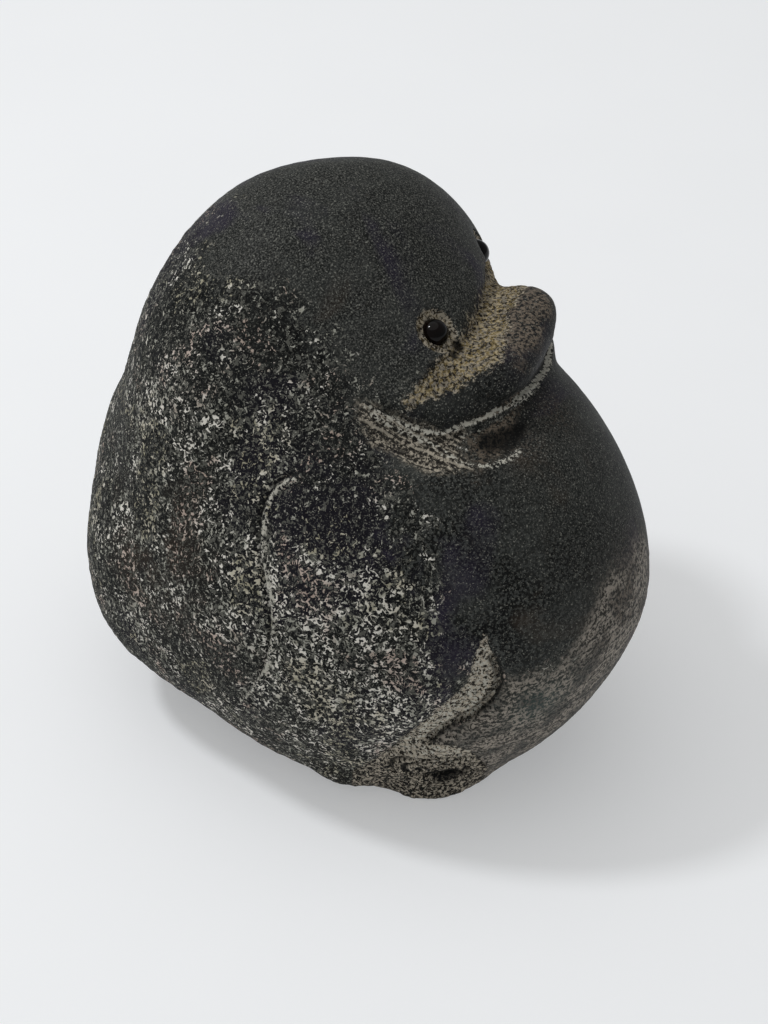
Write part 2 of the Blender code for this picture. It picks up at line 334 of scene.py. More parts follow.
# Soft lumps of the given size, from -1 to 1.
def patchy(points, size, seed):
    return np.array([noise.noise(Vector(p / size + seed)) for p in points])


# The middle of a bead and the way out of the stone there, from the stone around it.
def eyeSeat(bead, stone):
    low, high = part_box(bead)
    middle = np.array((low + high) / 2)
    near = pointsOf(stone.data)
    away = np.linalg.norm(near - middle, axis=1)
    ring = near[(away > eyeMake["stoneFrom"]) & (away < eyeMake["stoneTo"])]
    centre = ring.mean(0)
    out = np.linalg.svd(ring - centre)[2][2]
    out *= np.sign(out @ (middle - np.array([*head["axis"], middle[2] - eyeMake["neckBelow"]])))
    return {"middle": middle - out * eyeMake["deeper"][bead], "out": out, "level": centre @ out}


def mirroredInHead(points):
    turn = math.radians(head["turn"])
    sideways = np.array([math.cos(turn), math.sin(turn), 0.0])
    axis = np.array([*head["axis"], 0.0])
    return points - 2 * ((points - axis) @ sideways)[:, None] * sideways


def mirroredInBody(points):
    shift = math.radians(body["leftShift"])
    c, s = math.cos(shift), math.sin(shift)
    return (points * np.array([-1.0, 1.0, 1.0])) @ np.array([[c, s, 0], [-s, c, 0], [0, 0, 1]])


def mirrored(name, points):
    return mirroredInHead(points) if name in headMarks else mirroredInBody(points)


# A smooth run through the given points.
def rounded(line, steps=6):
    ends = np.vstack([2 * line[0] - line[1], line, 2 * line[-1] - line[-2]])
    t = np.arange(steps)[:, None] / steps
    runs = []
    for a, b, c, d in zip(ends, ends[1:], ends[2:], ends[3:]):
        runs.append(0.5 * (2 * b + (c - a) * t + (2 * a - 5 * b + 4 * c - d) * t**2
                           + (3 * b - a - 3 * c + d) * t**3))
    return np.vstack([*runs, line[-1:]])


# How far points lie to the side of a line, signed, and how far along it, near the line only.
def besideLine(points, line, margin=4 * mm):
    away = np.full(len(points), 1.0)
    side = np.full(len(points), 1.0)
    along = np.zeros(len(points))
    low, high = line.min(0) - margin, line.max(0) + margin
    near = np.nonzero(((points > low) & (points < high)).all(1))[0]
    close = points[near]
    nearest = np.full(len(near), np.inf)
    sign = np.ones(len(near))
    share = np.zeros(len(near))
    for index, (start, run) in enumerate(zip(line[:-1], np.diff(line, axis=0))):
        t = np.clip((close - start) @ run / max(run @ run, 1e-12), 0, 1)
        offset = close - start - t[:, None] * run
        distance = np.linalg.norm(offset, axis=1)
        sideways = np.cross(run, start - heart)
        closer = distance < nearest
        nearest = np.where(closer, distance, nearest)
        sign = np.where(closer, np.where(offset @ sideways < 0, -1.0, 1.0), sign)
        share = np.where(closer, (index + t) / (len(line) - 1), share)
    away[near] = nearest
    side[near] = nearest * sign
    along[near] = share
    return away, side, along


# 1 inside an outline of the frame, easing to 0 over the given pixels at its edge.
def insideArea(pixels, outline, soft):
    outline = np.array(outline, float)
    following = np.roll(outline, -1, axis=0)
    within = np.zeros(len(pixels), bool)
    distance = np.full(len(pixels), np.inf)
    for a, b in zip(outline, following):
        run = b - a
        t = np.clip((pixels - a) @ run / (run @ run), 0, 1)
        distance = np.minimum(distance, np.linalg.norm(pixels - a - t[:, None] * run, axis=1))
        crosses = (a[1] > pixels[:, 1]) != (b[1] > pixels[:, 1])
        at = a[0] + (pixels[:, 1] - a[1]) / (b[1] - a[1] if b[1] != a[1] else 1e-9) * run[0]
        within ^= crosses & (pixels[:, 0] < at)
    return eased(0.5 + np.where(within, distance, -distance) / soft)


# Places the frame's lines and spots on the softened stone, on both sides of the penguin.
def readStone(stone):
    tree = treeOf(stone.data)

    def settled(points):
        return np.array([tree.find_nearest(Vector(p))[0] for p in points])

    placed = {}
    for name, pixels in lines.items():
        line = rounded(onStone(pixels, tree))
        placed[name] = ((line, 1), (settled(mirrored(name, line)), -1))
    for name, pixel in spots.items():
        point = onStone([pixel], tree)
        placed[name] = (point[0], settled(mirrored(name, point))[0])
    return placed


def copyOfNode(node, name):
    piece = bpy.data.objects.new(name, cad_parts[node].data.copy())
    bpy.context.scene.collection.objects.link(piece)
    piece.data.materials.clear()
    return piece


def applied(piece, name, kind, **settings):
    activate(piece)
    modifier = piece.modifiers.new(name, kind)
    for key, value in settings.items():
        setattr(modifier, key, value)
    bpy.ops.object.modifier_apply(modifier=name)


# The solid's form with its eye seats filled, in even small faces.
def softenedStone(seats):
    piece = copyOfNode("carved_stone", "carvedStone")
    activate(piece)
    bpy.ops.object.mode_set(mode="EDIT")
    bpy.ops.mesh.select_all(action="SELECT")
    bpy.ops.mesh.remove_doubles(threshold=0.001 * mm)
    bpy.ops.object.mode_set(mode="OBJECT")
    plugs = []
    for seat in seats.values():
        depth = stoneMake["plugDepth"]
        middle = seat["middle"] + seat["out"] * (seat["level"] - seat["middle"] @ seat["out"] - depth / 2)
        bpy.ops.mesh.primitive_cylinder_add(
            vertices=32, radius=stoneMake["plugRadius"], depth=depth, location=middle,
            rotation=Vector(seat["out"]).to_track_quat("Z", "Y").to_euler(),
        )
        plugs.append(bpy.context.object)
    activate(piece)
    for plug in plugs:
        plug.select_set(True)
    bpy.ops.object.join()
    applied(piece, "even", "REMESH", mode="VOXEL", voxel_size=stoneMake["step"])
    applied(piece, "soften", "SMOOTH", factor=0.5, iterations=stoneMake["softening"])
    return piece


# 1 where a surface faces the camera, easing to 0 as it turns away.
def facingCamera(points, normals):
    way = (eyePoint - points) / np.linalg.norm(eyePoint - points, axis=1)[:, None]
    return eased(((normals * way).sum(1) + 0.05) / 0.12)


# Where each finish and each worked area lies, from 0 to 1 at each point.
def worked(points, normals, placed, seats):
    shares = {}
    facing = facingCamera(points, normals)
    pixels = seenAt(points)
    others = {}
    for kind, mirror in (("head", mirroredInHead), ("body", mirroredInBody)):
        moved = mirror(points)
        turned = mirror(points + normals) - moved
        others[kind] = (seenAt(moved), facingCamera(moved, turned))
    ragged = np.zeros((len(points), 2))
    for wander in edgeWander.values():
        ragged += patchy(points, wander["size"], wander["seed"])[:, None] * np.array(wander["pixels"])
    for name, outline in areas.items():
        soft, uneven = edges.get(name, cleanEdge)
        rough = ragged * uneven
        here = insideArea(pixels + rough, outline, soft) * facing
        there, seen = others["body" if name in bodyAreas else "head"]
        shares[name] = np.maximum(here, insideArea(there + rough, outline, soft) * seen)
    shares["ring"] = np.zeros(len(points))
    for seat in seats.values():
        offset = points - seat["middle"]
        outward = offset @ seat["out"]
        radius = np.linalg.norm(offset - outward[:, None] * seat["out"], axis=1)
        near = outward > -eyeMake["ringBelow"]
        wander = eyeMake["ringWander"] * patchy(points, eyeMake["ringLumps"], 6.0)
        reach = (eyeMake["ringRadius"] + wander - radius) / eyeMake["ringWall"]
        shares["ring"] = np.maximum(shares["ring"], eased(0.5 + reach) * near)
    for name in lines:
        shares[name + "Line"] = [besideLine(points, line) for line, _ in placed[name]]
        shares[name + "Turn"] = [turn for _, turn in placed[name]]
    return shares


def groove(fields, width):
    away, _, along = fields
    return np.exp(-((away / width) ** 2)) * fadedEnds(along, grooveEnds)


# A soft round patch about each of the given spots.
def blob(points, spots, reach):
    distances = [np.linalg.norm(points - spot, axis=1) for spot in spots]
    return np.maximum.reduce([np.exp(-((distance / reach) ** 2)) for distance in distances])


def atHeight(points, name):
    start, span = heights[name]
    return eased((points[:, 2] - start) / span)


# How far each point is cut in.
def carveDepth(points, placed, shares):
    depth = np.zeros(len(points))
    for name in ("throat", "throatBelow", "flipper", "footCrease"):
        for fields in shares[name + "Line"]:
            depth += carving[name]["depth"] * groove(fields, carving[name]["width"])
    for name in ("brow", "billRidge", "footEdge", "breast"):
        for (away, side, along), turn in zip(shares[name + "Line"], shares[name + "Turn"]):
            lower = side * turn * stepWay[name]
            step = eased(0.5 + lower / stepEase) * np.exp(-np.maximum(lower, 0) / carving[name]["width"])
            depth += carving[name]["depth"] * step * fadedEnds(along, stepEnds) * (away < byLine["step"])
    lip = carving["throatLip"]
    for (away, side, along), turn in zip(shares["throatLine"], shares["throatTurn"]):
        below = side * turn * stepWay["throat"] - lip["below"]
        depth += lip["depth"] * np.exp(-((below / lip["width"]) ** 2)) * fadedEnds(along, lip["ends"])
    for fields in (*shares["collarTopLine"], *shares["collarLine"]):
        depth += carving["collarLip"]["depth"] * groove(fields, carving["collarLip"]["width"])
    depth += carving["pocket"]["depth"] * shares["pocket"]
    depth += carving["flipperSide"]["depth"] * besideFlipper(shares)

    waver = patchy(points, waverSize, 9.0)
    for name, along, share in (("hatching", acrossStreaks(points, placed), shares["hatching"]),
                               ("grind", points[:, 2], shares["belly"])):
        make = carving[name]
        turns = 2 * math.pi * along / make["spacing"]
        depth += make["depth"] * np.sin(turns + make["waver"] * waver) * share

    for spot in placed["strata"]:
        wave, reach = ripples(points, spot)
        depth += carving["strata"]["depth"] * wave * reach * shares["footBand"]
    for spot in placed["hollow"]:
        offset = points - spot
        make = carving["hollow"]
        level = (offset[:, :2] ** 2).sum(1) / make["length"] ** 2
        radius = np.sqrt(level + (offset[:, 2] / make["height"]) ** 2)
        depth += make["depth"] * np.exp(-(radius**2))
    for spot in (*placed["nick"], *placed["nickBelow"]):
        radius = np.linalg.norm(points - spot, axis=1)
        depth += carving["nick"]["depth"] * np.exp(-((radius / carving["nick"]["width"]) ** 2))
    depth += eyeMake["ringDepth"] * shares["ring"]

    crust = crustShare(shares)
    size = carving["crust"]["size"]
    rough = patchy(points, size, 1.0) + 0.6 * patchy(points, size / 2, 5.0)
    depth += carving["crust"]["depth"] * rough * (0.15 + 0.85 * crust)
    depth += carving["swell"]["depth"] * patchy(points, carving["swell"]["size"], 7.0) * crust
    granular = np.maximum.reduce([shares["recess"], shares["footBand"], shares["hatching"], shares["ring"]])
    depth += carving["granular"]["depth"] * patchy(points, carving["granular"]["size"], 11.0) * granular
    return depth


# How near points are to the shaded side of a flipper's line.
def besideFlipper(shares):
    make = carving["flipperSide"]
    share = 0
    for (away, side, along), turn in zip(shares["flipperLine"], shares["flipperTurn"]):
        off = (side * turn * stepWay["flipper"] - make["beyond"]) / make["width"]
        share = np.maximum(share, np.exp(-(off**2)) * fadedEnds(along, make["ends"]) * (away < byLine["lip"]))
    return share


# The curved ridges round the hollow of a foot: their wave and how far they reach.
def ripples(points, spot):
    make = carving["strata"]
    offset = points - spot
    level = (offset[:, :2] ** 2).sum(1) * make["levelShare"]
    radius = np.sqrt(level + (offset[:, 2] * make["heightShare"]) ** 2)
    turns = 2 * math.pi * radius / make["spacing"]
    wave = np.sin(turns + make["waver"] * patchy(points, make["waverSize"], 9.0))
    return wave, eased((make["reach"] - radius) / make["fade"])


# A measure that stays level along the collar's tool marks.
def acrossStreaks(points, placed):
    collar = placed["collar"][0][0]
    start, end = collar[0], collar[collarRun]
    along = (end - start) / np.linalg.norm(end - start)
    out = start - heart
    across = np.cross(along, out / np.linalg.norm(out))
    return points @ (across / np.linalg.norm(across))


# Where the stone's natural rough skin was left.
def crustShare(shares):
    cut = [shares[name] for name in ("recess", "bill", "hatching", "footBand", "belly", "breast", "ring")]
    return np.clip(1 - np.maximum.reduce(cut), 0, 1) * (1 - 0.92 * shares["dome"])


# Halves the faces where there is carving.
def refine(piece, placed, seats):
    mesh = piece.data
    count = len(mesh.polygons)
    centres, normals = np.zeros(count * 3), np.zeros(count * 3)
    mesh.polygons.foreach_get("center", centres)
    mesh.polygons.foreach_get("normal", normals)
    centres, normals = centres.reshape(-1, 3), normals.reshape(-1, 3)
    shares = worked(centres, normals, placed, seats)
    fine = [shares[name] for name in ("recess", "bill", "hatching", "pocket", "footBand")]
    wanted = np.maximum.reduce(fine) > 0.02
    for name in ("brow", "throat", "collarTop", "collar", "footEdge", "footCrease", "flipper"):
        for away, _, _ in shares[name + "Line"]:
            wanted |= away < stoneMake["fineMargin"]
    for seat in seats.values():
        wanted |= np.linalg.norm(centres - seat["middle"], axis=1) < stoneMake["eyeMargin"]
    activate(piece)
    bpy.context.tool_settings.mesh_select_mode = (False, False, True)
    bpy.ops.object.mode_set(mode="EDIT")
    bpy.ops.mesh.select_all(action="DESELECT")
    bpy.ops.object.mode_set(mode="OBJECT")
    mesh.polygons.foreach_set("select", wanted)
    bpy.ops.object.mode_set(mode="EDIT")
    bpy.ops.mesh.subdivide(number_cuts=1, smoothness=0)
    bpy.ops.mesh.vertices_smooth(factor=0.5, repeat=2)
    bpy.ops.mesh.select_all(action="SELECT")
    bpy.ops.mesh.quads_convert_to_tris(quad_method="SHORTEST_DIAGONAL", ngon_method="BEAUTY")
    bpy.ops.object.mode_set(mode="OBJECT")


def makeStone():
    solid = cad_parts["carved_stone"]
    seats = {bead: eyeSeat(bead, solid) for bead in ("right_eye", "left_eye")}
    piece = softenedStone(seats)
    print("penguin: stone softened,", len(piece.data.polygons), "faces")
    placed = readStone(piece)
    refine(piece, placed, seats)
    mesh = piece.data
    points, normals = pointsOf(mesh), normalsOf(mesh)
    shares = worked(points, normals, placed, seats)
    points = points - normals * carveDepth(points, placed, shares)[:, None]
    points[:, 2] = np.where(points[:, 2] < stoneMake["groundBelow"], 0.0, points[:, 2])
    mesh.vertices.foreach_set("co", points.ravel())
    mesh.update()
    print("penguin: stone carved,", len(mesh.polygons), "faces")
    for bead, seat in seats.items():
        bpy.ops.mesh.primitive_uv_sphere_add(
            segments=48, ring_count=24, radius=eyeMake["radius"] + eyeMake["seatGap"],
            location=seat["middle"], rotation=Vector(seat["out"]).to_track_quat("Z", "Y").to_euler(),
        )
        drill = bpy.context.object
        applied(piece, bead + "Seat", "BOOLEAN", operation="DIFFERENCE", object=drill, solver="EXACT")
        bpy.data.objects.remove(drill)
    paintStone(piece, placed, seats)
    bpy.ops.object.select_all(action="DESELECT")
    piece.select_set(True)
    bpy.ops.object.shade_smooth()
    return piece, seats


# Writes where each finish lies on the stone, for its material to read.
def paintStone(piece, placed, seats):
    mesh = piece.data
    points, normals = pointsOf(mesh), normalsOf(mesh)
    shares = worked(points, normals, placed, seats)
    near = {name: blob(points, placed[name], reach) for name, reach in spotReach.items()}
    crust = crustShare(shares)
    # Towards the bottom of the foot the stone is browner and less pale.
    low = atHeight(points, "lowOnFoot")
    strata = np.zeros(len(points))
    for spot in placed["strata"]:
        wave, reach = ripples(points, spot)
        strata = np.maximum(strata, reach * (0.5 + 0.5 * wave))
    # Painted shade in the foot's crease, the hollow, the nicks and the collar's pocket, and a painted shadow
    # on the shaded side of the flipper's line; the ripples of the foot are darker in their troughs.
    dark = np.maximum.reduce([
        *[groove(fields, creaseShade) for fields in shares["footCreaseLine"]],
        near["hollow"], near["nick"], near["nickBelow"], 0.6 * shares["pocket"],
        0.9 * strata**1.5 * shares["footBand"], 0.5 * besideFlipper(shares),
    ])
    raw = np.maximum.reduce([0.88 * shares["recess"], (1.0 - 0.45 * low) * shares["footBand"],
                             0.42 * shares["hatching"], shares["ring"]])
    pale = 0.36 * (1 - low) * shares["footBand"]
    for name, make in paleLines.items():
        for fields in shares[name + "Line"]:
            pale = np.maximum(pale, make["share"] * groove(fields, make["width"]))
    # The lit lip under the throat's groove is a painted highlight.
    for (away, side, along), turn in zip(shares["throatLine"], shares["throatTurn"]):
        below = side * turn * stepWay["throat"] - litLip["below"]
        lit = np.exp(-((below / litLip["width"]) ** 2)) * fadedEnds(along, litLip["ends"])
        pale = np.maximum(pale, litLip["share"] * lit * (away < byLine["lip"]))
    speck = specks["everywhere"]
    for name, share in specks["atSpots"].items():
        speck = speck + share * near[name]
    speck = crust * speck * (1 - 0.6 * atHeight(points, "fewerSpecks"))
    speck *= 1 - 0.35 * atHeight(points, "worn")
    written = {
        "crust": crust,
        "speck": speck,
        "raw": raw,
        "pale": pale,
        "yellow": shares["recess"] * (0.35 + 0.65 * atHeight(points, "yellower")) + 0.35 * shares["ring"],
        # The belly's right rim gets a painted sheen in brown, through both brown and warm.
        "brown": (shares["brownUnderEye"] + 0.5 * eased(shares["recess"] * 2) + near["rimSheen"]
                  + low * shares["footBand"]),
        "teal": near["tealPatch"],
        "dark": dark,
        "rust": near["rust"],
        "warm": np.clip(0.5 * near["warmBreast"] + near["rimSheen"], 0, 1) * (1 - crust),
        # The bill's roll below its top, darkened in the material as painted shade.
        "roll": shares["bill"] - shares["billTop"],
        # Painted light: a lighter grey patch on the breast's upper right, in the dome's tone.
        "lit": near["litBreast"] * (1 - crust),
        "dome": shares["dome"],
        "billTop": shares["billTop"],
        "ground": shares["belly"],
        "hatch": shares["hatching"],
    }
    written = {name: np.clip(values, 0, 1) for name, values in written.items()}
    written["streak"] = np.where(shares["hatching"] > 0.3, acrossStreaks(points, placed), points[:, 2]) / mm
    for name, values in written.items():
        layer = mesh.attributes.new(name, "FLOAT", "POINT")
        layer.data.foreach_set("value", values.astype(np.float32))


stoneLook = {
    "darkest": (0.0030, 0.0033, 0.0033),
    "dark": (0.058, 0.061, 0.056),
    "domeDark": (0.010, 0.011, 0.010),
    "domeGrey": (0.072, 0.073, 0.066),
    "strandGrey": (0.098, 0.097, 0.083),
    "violet": (0.026, 0.020, 0.040),
    "brown": (0.074, 0.052, 0.036),
    "speckGrey": (0.34, 0.335, 0.285),
    "speckPale": (0.76, 0.725, 0.65),
    "speckPink": (0.46, 0.34, 0.28),
    "speckYellow": (0.36, 0.32, 0.20),
    "rawDark": (0.018, 0.015, 0.012),
    "rawPale": (0.44, 0.39, 0.31),
    "paleLine": (0.50, 0.48, 0.41),
    "yellow": (0.38, 0.285, 0.12),
    "groundDark": (0.028, 0.026, 0.022),
    "groundGrey": (0.31, 0.275, 0.23),
    "teal": (0.040, 0.060, 0.055),
    "billBrown": (0.20, 0.16, 0.12),
    # The near black of the painted shade and shadow.
    "paintedShade": (0.003, 0.003, 0.003),
    "strandScale": 1380.0,
    "clusterScale": 230.0,
    "grainScale": 3000.0,
    "tintScale": 130.0,
    "mottleScale": 2600.0,
    "rawScale": 2700.0,
    "yellowScale": 2300.0,
    "patchScale": 300.0,
    "streakScale": 2.3,
    "crustRoughness": 0.72,
    "honedRoughness": 0.58,
    "rawRoughness": 0.88,
    "specular": 0.09,
    "bumpStrength": 0.6,
    "bumpDistance": 0.14 * mm,
}


# A material's nodes, added one after another.
class Recipe:

    def __init__(self, name):
        self.material = bpy.data.materials.new(name)
        self.material.use_nodes = True
        self.nodes = self.material.node_tree.nodes
        self.links = self.material.node_tree.links
        self.shader = self.nodes["Principled BSDF"]
        self.place = self.nodes.new("ShaderNodeTexCoord").outputs["Object"]

    def put(self, socket, value):
        if isinstance(value, bpy.types.NodeSocket):
            self.links.new(value, socket)
        elif isinstance(value, tuple):
            socket.default_value = (*value, 1.0)[: len(socket.default_value)]
        else:
            socket.default_value = value

    def read(self, attribute):
        node = self.nodes.new("ShaderNodeAttribute")
        node.attribute_name = attribute
        return node.outputs["Fac"]

    def grain(self, scale, detail=2.0, twist=0.0, roughness=0.5):
        node = self.nodes.new("ShaderNodeTexNoise")
        self.put(node.inputs["Vector"], self.place)
        node.inputs["Scale"].default_value = scale
        node.inputs["Detail"].default_value = detail
        node.inputs["Distortion"].default_value = twist
        node.inputs["Roughness"].default_value = roughness
        return node.outputs["Fac"]

    def spread(self, value, low, high, start=0.0, end=1.0):
        node = self.nodes.new("ShaderNodeMapRange")
        node.interpolation_type = "SMOOTHSTEP"
        sockets = ("Value", "From Min", "From Max", "To Min", "To Max")
        for socket, given in zip(sockets, (value, low, high, start, end)):
            self.put(node.inputs[socket], given)
        return node.outputs["Result"]

    def sum(self, kind, first, second):
        node = self.nodes.new("ShaderNodeMath")
        node.operation = kind
        self.put(node.inputs[0], first)
        self.put(node.inputs[1], second)
        return node.outputs["Value"]

    def times(self, first, second):
        return self.sum("MULTIPLY", first, second)

    # Thin winding lines where a field crosses its middle value.
    def ridge(self, field, reach, core):
        away = self.sum("ABSOLUTE", self.sum("SUBTRACT", field, 0.5), 0.0)
        return self.spread(away, reach, core)

    # Noise in lines that stay level along an attribute, with a slight waver.
    def lines(self, along, scale):
        node = self.nodes.new("ShaderNodeTexNoise")
        node.noise_dimensions = "1D"
        self.put(node.inputs["W"], self.sum("ADD", along, self.times(self.grain(500.0), 0.8)))
        node.inputs["Scale"].default_value = scale
        node.inputs["Detail"].default_value = 3.0
        return node.outputs["Fac"]

    def mix(self, share, first, second):
        node = self.nodes.new("ShaderNodeMix")
        node.data_type = "RGBA"
        self.put(node.inputs["Factor"], share)
        self.put(node.inputs["A"], first)
        self.put(node.inputs["B"], second)
        return node.outputs["Result"]

    def between(self, share, first, second):
        node = self.nodes.new("ShaderNodeMix")
        node.data_type = "FLOAT"
        self.put(node.inputs["Factor"], share)
        self.put(node.inputs["A"], first)
        self.put(node.inputs["B"], second)
        return node.outputs["Result"]


def darkStone():
    look = stoneLook
    make = Recipe("dark stone")
    winding = make.ridge(make.grain(look["strandScale"], 1.0, 0.8), 0.10, 0.02)
    otherWinding = make.ridge(make.grain(look["strandScale"] * 1.35, 1.0, 0.9), 0.10, 0.02)
    broken = make.grain(look["strandScale"] * 1.6, 1.5, 0.5, 0.6)
    otherBroken = make.grain(look["strandScale"] * 1.25, 1.5, 0.5, 0.6)
    cluster = make.grain(look["clusterScale"], 3.0, 0.5)
    grain = make.grain(look["grainScale"], 2.0, 0.3, 0.6)
    fine = make.grain(look["grainScale"] * 1.85, 2.0, 0.3, 0.6)
    coarse = make.grain(look["grainScale"] * 0.85, 3.0, 0.5, 0.65)
    tint = make.grain(look["tintScale"], 4.0, 0.4, 0.6)
    otherTint = make.grain(look["tintScale"] * 0.55, 3.0, 0.8)
    pick = make.grain(look["strandScale"] * 0.4, 1.0)
    crust = make.read("crust")

    base = make.mix(make.spread(grain, 0.47, 0.60), look["darkest"], look["dark"])
    domeTone = make.mix(make.spread(fine, 0.43, 0.58), look["domeDark"], look["domeGrey"])
    # The dome's honed tone, also laid on the breast's patch of painted light.
    base = make.mix(make.sum("MAXIMUM", make.read("dome"), make.times(make.read("lit"), 0.8)), base, domeTone)
    base = make.mix(make.spread(tint, 0.42, 0.64, 0.0, 0.35), base, look["dark"])
    base = make.mix(make.spread(otherTint, 0.52, 0.66, 0.0, 0.65), base, look["violet"])
    rust = make.times(make.read("rust"), make.spread(tint, 0.46, 0.62))
    rust = make.sum("MAXIMUM", rust, make.spread(otherTint, 0.36, 0.26, 0.0, 0.35))
    base = make.mix(rust, base, look["brown"])
    warm = make.times(make.read("warm"), make.spread(grain, 0.42, 0.60, 0.0, 0.8))
    base = make.mix(warm, base, look["brown"])
    mottle = make.grain(look["mottleScale"], 3.0, 0.6, 0.65)
    billTone = make.mix(make.spread(mottle, 0.42, 0.60), look["domeDark"], look["billBrown"])
    base = make.mix(make.times(make.read("billTop"), 0.9), base, billTone)
    brownTone = make.mix(make.spread(coarse, 0.44, 0.58), look["darkest"], look["brown"])
    base = make.mix(make.times(make.read("brown"), 0.85), base, brownTone)

    # Darker where the crust is, and painted shade on the bill's roll below its top.
    deep = make.sum("MAXIMUM", make.times(crust, 0.70), make.times(make.read("roll"), 0.45))
    base = make.mix(deep, base, look["darkest"])
    density = make.sum("ADD", make.read("speck"), make.spread(cluster, 0.35, 0.65, -0.26, 0.26))
    onCrust = make.spread(crust, 0.05, 0.45)
    dim = make.sum("ADD", otherBroken, make.times(otherWinding, 0.17))
    dim = make.sum("SUBTRACT", dim, make.spread(density, -0.2, 0.8, 0.71, 0.635))
    colour = make.mix(make.times(make.spread(dim, -0.02, 0.05), onCrust), base, look["strandGrey"])
    level = make.sum("ADD", broken, make.times(winding, 0.17))
    level = make.sum("SUBTRACT", level, make.spread(density, 0.0, 1.0, 0.75, 0.625))
    strands = make.times(make.spread(level, 0.0, 0.04), onCrust)
    paler = make.sum("ADD", pick, make.spread(density, 0.2, 1.0, -0.08, 0.08))
    tone = make.mix(make.spread(paler, 0.44, 0.58), look["speckGrey"], look["speckPale"])
    tone = make.mix(make.spread(tint, 0.53, 0.63, 0.0, 0.75), tone, look["speckPink"])
    tone = make.mix(make.spread(tint, 0.47, 0.38, 0.0, 0.6), tone, look["speckYellow"])
    colour = make.mix(strands, colour, tone)
    dust = make.times(make.spread(fine, 0.61, 0.68), make.between(crust, 0.55, 0.60))
    colour = make.mix(dust, colour, look["speckGrey"])

    streak = make.lines(make.read("streak"), look["streakScale"])
    ground = make.sum("ADD", make.times(coarse, 0.80), make.times(streak, 0.20))
    groundTone = make.mix(make.spread(ground, 0.44, 0.57), look["groundDark"], look["groundGrey"])
    patch = make.spread(make.grain(look["patchScale"], 2.0, 0.3), 0.38, 0.58, 0.30, 1.0)
    colour = make.mix(make.times(make.read("ground"), patch), colour, groundTone)
    teal = make.times(make.read("teal"), make.spread(coarse, 0.56, 0.44, 0.2, 0.8))
    colour = make.mix(teal, colour, look["teal"])
    hatched = make.sum("ADD", make.times(coarse, 0.55), make.times(streak, 0.45))
    hatchTone = make.mix(make.spread(hatched, 0.47, 0.56), look["rawDark"], look["rawPale"])
    colour = make.mix(make.times(make.read("hatch"), 0.75), colour, hatchTone)
    rawGrain = make.grain(look["rawScale"], 3.0, 0.6, 0.65)
    rawField = make.sum("ADD", make.times(rawGrain, 0.85), make.times(streak, 0.15))
    rawTone = make.mix(make.spread(rawField, 0.45, 0.55), look["rawDark"], look["rawPale"])
    yellowGrain = make.grain(look["yellowScale"], 3.0, 0.8, 0.65)
    yellowTone = make.mix(make.spread(yellowGrain, 0.46, 0.58), look["rawDark"], look["yellow"])
    rawTone = make.mix(make.times(make.read("yellow"), 0.5), rawTone, yellowTone)
    ragged = make.sum("ADD", make.read("raw"), make.spread(coarse, 0.35, 0.65, -0.35, 0.35))
    colour = make.mix(make.spread(ragged, 0.30, 0.62), colour, rawTone)
    # Pale tool lines, and the painted highlight on the throat's lit lip.
    paleAndLit = make.sum("ADD", make.read("pale"), make.spread(coarse, 0.38, 0.62, -0.45, 0.30))
    colour = make.mix(make.spread(paleAndLit, 0.35, 0.62), colour, look["paleLine"])
    # Painted shade and shadow: near black where the dark attribute is high.
    colour = make.mix(make.times(make.spread(make.read("dark"), 0.1, 0.7), 0.92), colour, look["paintedShade"])
    make.put(make.shader.inputs["Base Color"], colour)

    rough = make.between(crust, look["honedRoughness"], look["crustRoughness"])
    rough = make.between(make.read("raw"), rough, look["rawRoughness"])
    rough = make.sum("ADD", rough, make.spread(grain, 0.3, 0.7, -0.06, 0.06))
    make.put(make.shader.inputs["Roughness"], rough)
    make.shader.inputs["Specular IOR Level"].default_value = look["specular"]

    relief = make.sum("ADD", make.times(strands, 0.5), make.times(grain, 0.6))
    relief = make.sum("ADD", relief, make.times(rawField, make.times(make.read("raw"), 1.5)))
    bump = make.nodes.new("ShaderNodeBump")
    bump.inputs["Strength"].default_value = look["bumpStrength"]
    bump.inputs["Distance"].default_value = look["bumpDistance"]
    make.links.new(relief, bump.inputs["Height"])
    make.links.new(bump.outputs["Normal"], make.shader.inputs["Normal"])
    return make.material


glassLook = {
    "black": (0.001, 0.001, 0.001),
    "brownDepth": (0.004, 0.002, 0.0015),
    "roughness": 0.03,
    "smeared": 0.12,
    "swirlScale": 500.0,
    "smearScale": 2600.0,
    "specular": 0.16,
}


def blackGlass():
    look = glassLook
    make = Recipe("black glass")
    swirl = make.spread(make.grain(look["swirlScale"], 2.0, 0.5), 0.4, 0.7)
    smear = make.spread(make.grain(look["smearScale"]), 0.4, 0.8, look["roughness"], look["smeared"])
    make.put(make.shader.inputs["Base Color"], make.mix(swirl, look["black"], look["brownDepth"]))
    make.put(make.shader.inputs["Roughness"], smear)
    make.shader.inputs["Specular IOR Level"].default_value = look["specular"]
    return make.material


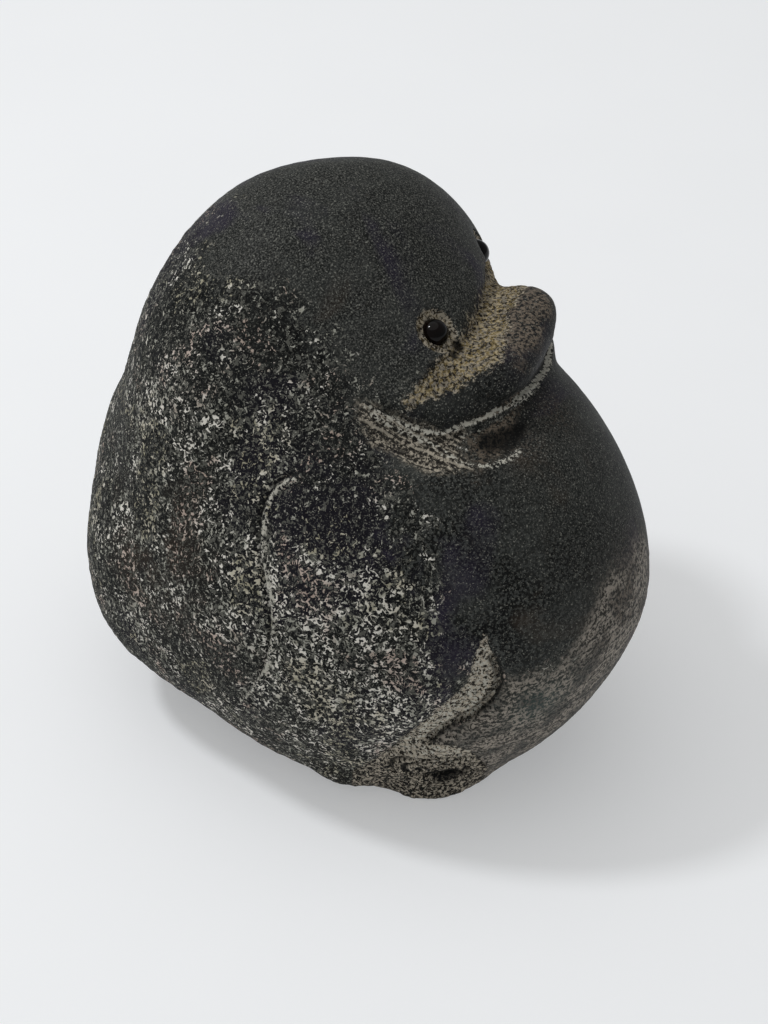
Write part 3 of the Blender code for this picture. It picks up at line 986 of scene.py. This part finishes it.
# A round glass bead, flattened behind where it is glued in its seat.
def makeBead(node, name, seat, material):
    turn = Vector(seat["out"]).to_track_quat("Z", "Y")
    radius = eyeMake["radius"]
    bpy.ops.mesh.primitive_uv_sphere_add(
        segments=32, ring_count=16, radius=radius, location=seat["middle"], rotation=turn.to_euler())
    bead = bpy.context.object
    bead.name = name
    bead.data.name = name
    bpy.ops.object.transform_apply(location=True, rotation=True, scale=True)
    bpy.ops.object.mode_set(mode="EDIT")
    bpy.ops.mesh.select_all(action="SELECT")
    cut = seat["middle"] - seat["out"] * radius * eyeMake["cutBehind"]
    bpy.ops.mesh.bisect(plane_co=cut, plane_no=-seat["out"], use_fill=True, clear_outer=True)
    bpy.ops.mesh.inset(thickness=radius * eyeMake["inset"], depth=0.0)
    bpy.ops.object.mode_set(mode="OBJECT")
    applied(bead, "round", "SUBSURF", levels=2, render_levels=2)
    points = pointsOf(bead.data)
    offset = points - seat["middle"]
    away = np.linalg.norm(offset, axis=1)
    front = offset @ seat["out"] > -radius * eyeMake["roundFrom"]
    points = np.where(front[:, None], seat["middle"] + offset / away[:, None] * radius, points)
    bead.data.vertices.foreach_set("co", points.ravel())
    bead.data.update()
    activate(bead)
    bpy.ops.object.shade_smooth()
    bead.data.materials.append(material)
    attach(bead, "root")
    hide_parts(node)


stone, seats = makeStone()
stone.data.materials.append(darkStone())
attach(stone, "root")
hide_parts("carved_stone")
print("penguin: stone finished")

glass = blackGlass()
makeBead("right_eye", "rightEye", seats["right_eye"], glass)
makeBead("left_eye", "leftEye", seats["left_eye"], glass)
print("penguin: eyes set")

studio = {
    "floorSize": 3.0,
    "floorColour": (0.71, 0.715, 0.72),
    "floorGlow": 0.328,           # evens out the shade round the object, as a lit table does
    "worldColour": (0.94, 0.97, 1.0),
    "worldStrength": 0.28,
}
lights = {
    "overhead": {
        "place": (-0.01, 0.17, 0.82),
        "aimAt": (0, 0, 0.02),
        "size": 1.3,
        "power": 2.4,
        "colour": (1.0, 0.985, 0.96),
    },
    "window": {
        "place": (-0.117, 0.221, 0.419),
        "aimAt": (0, 0, 0.045),
        "size": 0.07,
        "power": 0.70,
        "colour": (0.95, 0.97, 1.0),
    },
}


def makeFloor():
    bpy.ops.mesh.primitive_grid_add(x_subdivisions=12, y_subdivisions=12, size=studio["floorSize"])
    floor = bpy.context.object
    floor.name = "floor"
    make = Recipe("pale paper")
    tone = make.spread(make.grain(40.0, 3.0), 0.3, 0.7)
    paler = tuple(value * 1.012 for value in studio["floorColour"])
    make.put(make.shader.inputs["Base Color"], make.mix(tone, studio["floorColour"], paler))
    make.shader.inputs["Roughness"].default_value = 0.9
    make.shader.inputs["Emission Color"].default_value = (0.98, 0.99, 1.0, 1.0)
    make.shader.inputs["Emission Strength"].default_value = studio["floorGlow"]
    floor.data.materials.append(make.material)


def softLight(name, place, aimAt, size, power, colour):
    data = bpy.data.lights.new(name, "AREA")
    data.shape = "DISK"
    data.size = size
    data.energy = power
    data.color = colour
    light = bpy.data.objects.new(name, data)
    bpy.context.scene.collection.objects.link(light)
    light.location = place
    light.rotation_euler = (Vector(aimAt) - Vector(place)).to_track_quat("-Z", "Y").to_euler()


makeFloor()
for name, make in lights.items():
    softLight(name, **make)
bpy.context.scene.view_settings.view_transform = "Standard"
world = bpy.context.scene.world or bpy.data.worlds.new("room")
bpy.context.scene.world = world
world.use_nodes = True
world.node_tree.nodes["Background"].inputs["Color"].default_value = (*studio["worldColour"], 1.0)
world.node_tree.nodes["Background"].inputs["Strength"].default_value = studio["worldStrength"]

cameraData = bpy.data.cameras.new("camera")
cameraData.sensor_width = view["sensorWidth"]
cameraData.lens = view["focalPixels"] * view["sensorWidth"] / view["frameHeight"]
cameraData.clip_start = view["nearest"]
cameraData.clip_end = view["farthest"]
camera = bpy.data.objects.new("camera", cameraData)
bpy.context.scene.collection.objects.link(camera)
camera.location = eyePoint
camera.rotation_mode = "QUATERNION"
camera.rotation_quaternion = Vector(aim).to_track_quat("-Z", "Y")
bpy.context.scene.camera = camera
print("penguin: studio ready")
